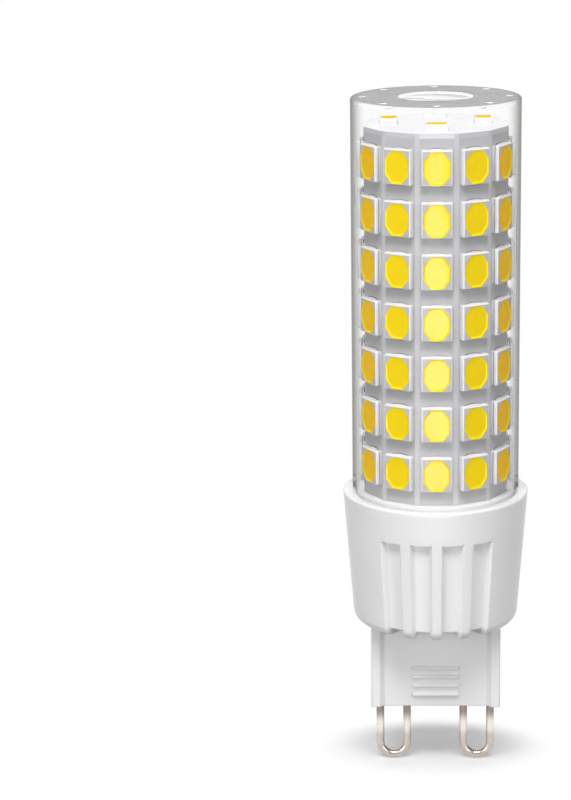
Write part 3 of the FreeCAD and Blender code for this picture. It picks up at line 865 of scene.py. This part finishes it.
cover_inner, cover_outer = 8.347, 8.797
cover_foot, cover_inner_top, cover_top = 23.2, 64.8, 65.4
cover_edge, cover_crease, cover_sides = 0.3, 30.0, 192
seat_top = 24.2
gate_radius, gate_depth = 3.85, 0.25
gate_slope = ((0, 0.08), (0.15, 0.6), (0.3, 0.93), (0.5, 1.0))
inside_edge = ((0.15, 0), (0.05, 0.05), (0, 0.15))
vent_radius, vent_inset, vent_count = 0.4, 1.25, 8


def cover_shell():
    """The wall's section, up the outside, over the top and down the inside, turned about the axis."""
    profile = [(cover_inner, cover_foot), (cover_outer, cover_foot)]
    profile += [(cover_outer, z) for z in (seat_top, 35.0, 50.0)]
    profile += arc((cover_outer - cover_edge, cover_top - cover_edge), cover_edge, 0, 90, 10)
    profile += [(7.0, cover_top), (gate_radius + 0.1, cover_top)]
    profile += [(gate_radius - back, cover_top - gate_depth * share) for back, share in gate_slope]
    profile += [(r, cover_top - gate_depth) for r in (1.5, 0)]
    profile += [(r, cover_inner_top) for r in (0, 4.0)]
    profile += [(cover_inner - back, cover_inner_top - drop) for back, drop in inside_edge]
    profile += [(cover_inner, z) for z in (50.0, 35.0, seat_top)]
    points = []
    for k in range(cover_sides):
        a = 2 * math.pi * (k + 0.5) / cover_sides
        points += [(r * math.sin(a), -r * math.cos(a), z) for r, z in profile]
    faces = turned_faces(points, cover_sides, len(profile), len(profile))
    return piece_from("clear_cover_shell", points, faces, cover_crease)


cover = cover_shell()
for k in range(vent_count):
    a = 2 * math.pi * k / vent_count
    r = cover_outer - vent_inset
    vent = round_bar(r * math.sin(a), -r * math.cos(a), vent_radius, cover_inner_top - 0.6, cover_top + 0.6)
    joined(cover, vent, "DIFFERENCE")
shade(cover, cover_crease)
cover_normals = cover.modifiers.new("flat faces", "WEIGHTED_NORMAL")
cover_normals.keep_sharp = True


clear_tone = (0.985, 0.985, 0.985, 1.0)
# Painted shade: the tone the cover wall turns where it is seen along its face.
edge_shade_tone = (0.30, 0.295, 0.28, 1.0)


def blended(nodes, links, share, first, second):
    """A blend of two shaders by a share."""
    node = nodes.new("ShaderNodeMixShader")
    for socket, value in zip(node.inputs, (share, first, second)):
        links.new(value, socket)
    return node.outputs["Shader"]


def clear_plastic_finish(name, edge_shade=False, haze=None):
    """Clear polished plastic that lets the lamps through: with painted shade that greys it where it is seen
    along its face, or with a satin haze.
    """
    material, nodes, links, shader, place = finish_nodes(name)
    tuned(shader, Base_Color=clear_tone, Transmission_Weight=1.0, IOR=1.01, Coat_Weight=0.06, Coat_IOR=1.5)
    if edge_shade:
        # Painted shade: the wall turns grey where it is seen along its face.
        edge = tuned(nodes.new("ShaderNodeLayerWeight"), Blend=0.5)
        depth = ranged(nodes, links, edge.outputs["Facing"], 0, 1, 0.4, 0.82)
        links.new(mixed(nodes, links, depth, clear_tone, edge_shade_tone), shader.inputs["Base Color"])
    flow = noise(nodes, links, place, 0.15, 2.0)
    links.new(ranged(nodes, links, flow, 0.0, 0.02), shader.inputs["Roughness"])
    bumped(nodes, links, flow, 0.01, shader)
    body = shader.outputs["BSDF"]
    if haze:
        satin = nodes.new("ShaderNodeBsdfDiffuse")
        grain = noise(nodes, links, place, 4.0)
        links.new(mixed(nodes, links, grain, srgb(148, 148, 150), srgb(138, 138, 140)), satin.inputs["Color"])
        streaks = noise(nodes, links, mapped(nodes, links, place, Scale=(1.0, 4.0, 1.0)), 0.22, 1.0)
        inside = nodes.new("ShaderNodeNewGeometry").outputs["Backfacing"]
        outside = ranged(nodes, links, inside, 1.0, 0.0, 0.0, 1.0)
        share = worked(nodes, links, "MULTIPLY", ranged(nodes, links, streaks, *haze, 0.4, 0.6), outside)
        body = blended(nodes, links, share, body, satin.outputs["BSDF"])
    clear = tuned(nodes.new("ShaderNodeBsdfTransparent"), Color=(0.97, 0.97, 0.975, 1.0))
    rays = nodes.new("ShaderNodeLightPath").outputs
    lighting = worked(nodes, links, "MAXIMUM", rays["Is Shadow Ray"], rays["Is Diffuse Ray"])
    body = blended(nodes, links, lighting, body, clear.outputs["BSDF"])
    links.new(body, nodes["Material Output"].inputs["Surface"])
    return material


cover.data.materials.clear()
cover.data.materials.append(clear_plastic_finish("clear moulded wall", edge_shade=True))
cover.data.materials.append(clear_plastic_finish("satin cover top", haze=(0.68, 0.74)))
cover.data.materials.append(clear_plastic_finish("polished clear plastic"))
cover.data.materials.append(clear_plastic_finish("streaked gate mark", haze=(0.0, 0.42)))
satin_skin, polished_skin, gate_skin = 1, 2, 3
for polygon in cover.data.polygons:
    out, up = polygon.center.xy.length / MM, polygon.center.z / MM
    if polygon.normal.z > 0.9 and up > cover_top - gate_depth - 0.01:
        polygon.material_index = satin_skin if out > gate_radius else gate_skin
    elif up < seat_top or out < cover_inner + 0.1:
        polygon.material_index = polished_skin
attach(cover, "root")
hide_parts("clear_cover")

# Floor
# A white sweep under the bulb. It shows plain white but keeps the bulb's soft shadow, and it throws a
# little light back up.

floor_half = 4000
floor = piece_from("floor", [(x * floor_half, y * floor_half, loop_bottom)
                             for x, y in ((-1, -1), (1, -1), (1, 1), (-1, 1))], [(0, 1, 2, 3)])


def seen_directly(nodes, links):
    """1 for what is seen straight, in a reflection or through a clear wall, 0 for light on a matt face."""
    rays = nodes.new("ShaderNodeLightPath").outputs
    share = worked(nodes, links, "MAXIMUM", rays["Is Camera Ray"], rays["Is Glossy Ray"])
    return worked(nodes, links, "MAXIMUM", share, rays["Is Transmission Ray"])


def floor_finish():
    """White card: matt under the bulb, where its shadow lies, and plain white further out."""
    material, nodes, links, shader, place = finish_nodes("white floor")
    seen = seen_directly(nodes, links)
    tone = mixed(nodes, links, seen, (0.25, 0.25, 0.255, 1.0), (0.8, 0.8, 0.805, 1.0))
    links.new(tone, shader.inputs["Base Color"])
    tuned(shader, Roughness=0.9, Specular_IOR_Level=0.0)
    oval = mapped(nodes, links, place, Location=(0.0, -0.0045, 0.0), Scale=(0.95, 1.45, 0.0))
    distance = nodes.new("ShaderNodeVectorMath")
    distance.operation = "LENGTH"
    links.new(oval, distance.inputs[0])
    plain = ranged(nodes, links, distance.outputs["Value"], 0.25, 1.0, 0.007, 0.0128)
    share = worked(nodes, links, "MULTIPLY", plain, seen)
    white = tuned(nodes.new("ShaderNodeEmission"), Color=(1.0, 1.0, 1.0, 1.0))
    look = blended(nodes, links, share, shader.outputs["BSDF"], white.outputs["Emission"])
    links.new(look, nodes["Material Output"].inputs["Surface"])
    return material


floor.data.materials.append(floor_finish())

# Studio light
# One soft box stands high in front, one low on each side and one behind, which reflections don't show. A
# lit card in front, close over the floor, is seen in reflections only. The room is white to the camera; in
# reflections it is bright only behind the bulb, and darkest on the right.

def soft_box(name, place, target, width, height, radiance):
    """A rectangular lamp that faces a point and shows a given brightness."""
    lamp = bpy.data.lights.new(name, "AREA")
    lamp.shape = "RECTANGLE"
    lamp.size, lamp.size_y = width, height
    lamp.energy = radiance * math.pi * width * height
    obj = placed(name, lamp)
    obj.location = place
    obj.rotation_euler = (Vector(target) - Vector(place)).to_track_quat("-Z", "Y").to_euler()
    obj.visible_camera = False
    obj.visible_transmission = False
    return obj


lamp_distance = 0.6


def beside(azimuth, elevation):
    """Where a lamp stands: degrees from the front towards the right, and degrees up."""
    turn, lift = math.radians(azimuth), math.radians(elevation)
    out = lamp_distance * math.cos(lift)
    return (out * math.sin(turn), -out * math.cos(turn), lamp_distance * math.sin(lift))


bulb_middle = (0.0, 0.0, 0.03)
soft_box("high front", beside(-6, 61), bulb_middle, 0.4, 0.18, 12.6)
soft_box("left", beside(-46, 14), bulb_middle, 0.3, 0.3, 4.1)
soft_box("right", beside(44, 14), bulb_middle, 0.3, 0.3, 3.4)
back_light = soft_box("behind", beside(180, 6), bulb_middle, 0.3, 0.4, 7.2)
back_light.visible_glossy = False
card = soft_box("low card", (-0.006, -0.28, -0.0065), (-0.006, -0.28, 1.0), 0.13, 0.34, 20.0)
card.visible_diffuse = False
world = bpy.data.worlds.new("pale room")
world.use_nodes = True
nodes, links = world.node_tree.nodes, world.node_tree.links
room = tuned(nodes["Background"], Color=(1.0, 1.0, 1.0, 1.0))
direction = split(nodes, links, nodes.new("ShaderNodeTexCoord").outputs["Generated"])
bright_rear = ranged(nodes, links, direction["Y"], 0.36, 1.0, 0.55, 0.9)
dark_right = ranged(nodes, links, direction["X"], 1.0, 0.35, 0.1, 0.5)
mirrored = worked(nodes, links, "MULTIPLY", bright_rear, dark_right)
rays = nodes.new("ShaderNodeLightPath").outputs
clear_view = worked(nodes, links, "MAXIMUM", rays["Is Camera Ray"], rays["Is Transmission Ray"])
brightness = tuned(nodes.new("ShaderNodeMix"), A=0.16)
links.new(seen_directly(nodes, links), brightness.inputs["Factor"])
links.new(worked(nodes, links, "MAXIMUM", clear_view, mirrored), brightness.inputs["B"])
links.new(brightness.outputs["Result"], room.inputs["Strength"])
bpy.context.scene.world = world

# Camera
# It looks slightly down on the bulb's front from a quarter of a metre, with a long lens.

camera_distance, camera_height = 0.264036, 0.100584
camera_side_turn = math.radians(0.985)
camera_turn, camera_tilt, camera_roll = math.radians(2.448), math.radians(75.721), math.radians(-0.79)
focal_length_px, frame_height_px = 2579.27, 800
camera_data = bpy.data.cameras.new("camera")
camera_data.sensor_width = 36.0
camera_data.lens = focal_length_px / frame_height_px * camera_data.sensor_width
camera = placed("camera", camera_data)
stand = Vector((-camera_distance * math.sin(camera_side_turn), -camera_distance * math.cos(camera_side_turn),
                camera_height))
camera.matrix_world = (Matrix.Translation(stand) @ Matrix.Rotation(camera_turn, 4, "Z")
                       @ Matrix.Rotation(camera_tilt, 4, "X") @ Matrix.Rotation(camera_roll, 4, "Z"))
bpy.context.scene.camera = camera
bpy.context.scene.view_settings.view_transform = "Standard"
light_paths = bpy.context.scene.cycles
light_paths.max_bounces = light_paths.transmission_bounces = light_paths.glossy_bounces = 16
light_paths.transparent_max_bounces = 16
